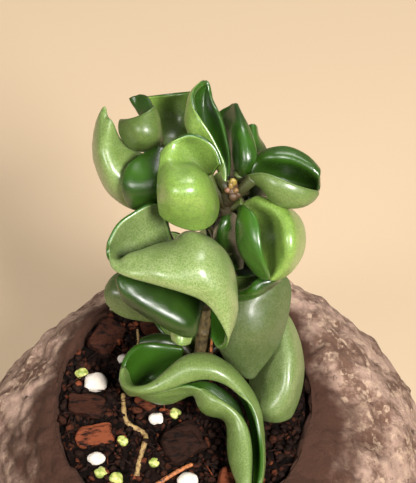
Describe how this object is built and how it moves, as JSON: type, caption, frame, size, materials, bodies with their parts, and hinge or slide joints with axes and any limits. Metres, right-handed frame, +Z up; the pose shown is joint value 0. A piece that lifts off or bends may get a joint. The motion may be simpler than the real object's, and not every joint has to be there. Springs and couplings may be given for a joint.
{
  "type": "potted hindu rope plant",
  "caption": "Small succulent with thick folded and curled leaves on one upright stem, growing from bark and perlite soil in a rough stone planter.",
  "frame": {"origin": "on the surface that the planter stands on, under the middle of the planter", "axes": "+Z up along the stem; -Y is the side that the picture's camera looks from; +X is to that camera's right"},
  "size_m": [0.1776, 0.1776, 0.2118],
  "materials": {
    "leaf": "satin",
    "bud_skin": "satin",
    "stone": "matte",
    "soil": "matte",
    "stem_skin": "matte",
    "bark": "matte",
    "perlite": "matte",
    "pellet": "satin",
    "root_skin": "matte"
  },
  "bodies": {
    "root": {"bark_chip_brown_middle": "bark", "bark_chip_dark_left": "bark", "bark_chip_orange": "bark", "bark_chip_red_front": "bark", "bark_chip_red_middle": "bark", "bark_chip_upper": "bark", "bark_chip_upper_left": "bark", "crown_bud": "bud_skin", "leaf_back_blur": "leaf", "leaf_back_right": "leaf", "leaf_blur_left": "leaf", "leaf_broad_right": "leaf", "leaf_cap_front": "leaf", "leaf_cap_inside": "leaf", "leaf_centre_tall": "leaf", "leaf_clam_right": "leaf", "leaf_cup_centre": "leaf", "leaf_dark_left": "leaf", "leaf_dark_right": "leaf", "leaf_far_left": "leaf", "leaf_low_dark": "leaf", "leaf_lower_back_left": "leaf", "leaf_lower_back_right": "leaf", "leaf_lowest_back": "leaf", "leaf_middle_back": "leaf", "leaf_narrow_dark": "leaf", "leaf_notched": "leaf", "leaf_ribbon": "leaf", "leaf_round_right": "leaf", "leaf_small_back_tip": "leaf", "leaf_small_tip": "leaf", "leaf_under_crescent": "leaf", "leaf_under_dark": "leaf", "leaf_upper_back": "leaf", "leaf_upper_back_left": "leaf", "leaf_upper_back_right": "leaf", "old_stalk": "root_skin", "pellet_centre_left": "pellet", "pellet_front": "pellet", "pellet_front_far_left": "pellet", "pellet_front_left": "pellet", "pellet_left": "pellet", "pellet_middle": "pellet", "perlite_far": "perlite", "perlite_front": "perlite", "perlite_front_left": "perlite", "perlite_large_left": "perlite", "perlite_middle": "perlite", "planter": "stone", "root_thin_far": "root_skin", "root_winding": "root_skin", "soil": "soil", "stem": "stem_skin", "twig": "bark"}
  },
  "joints": []
}
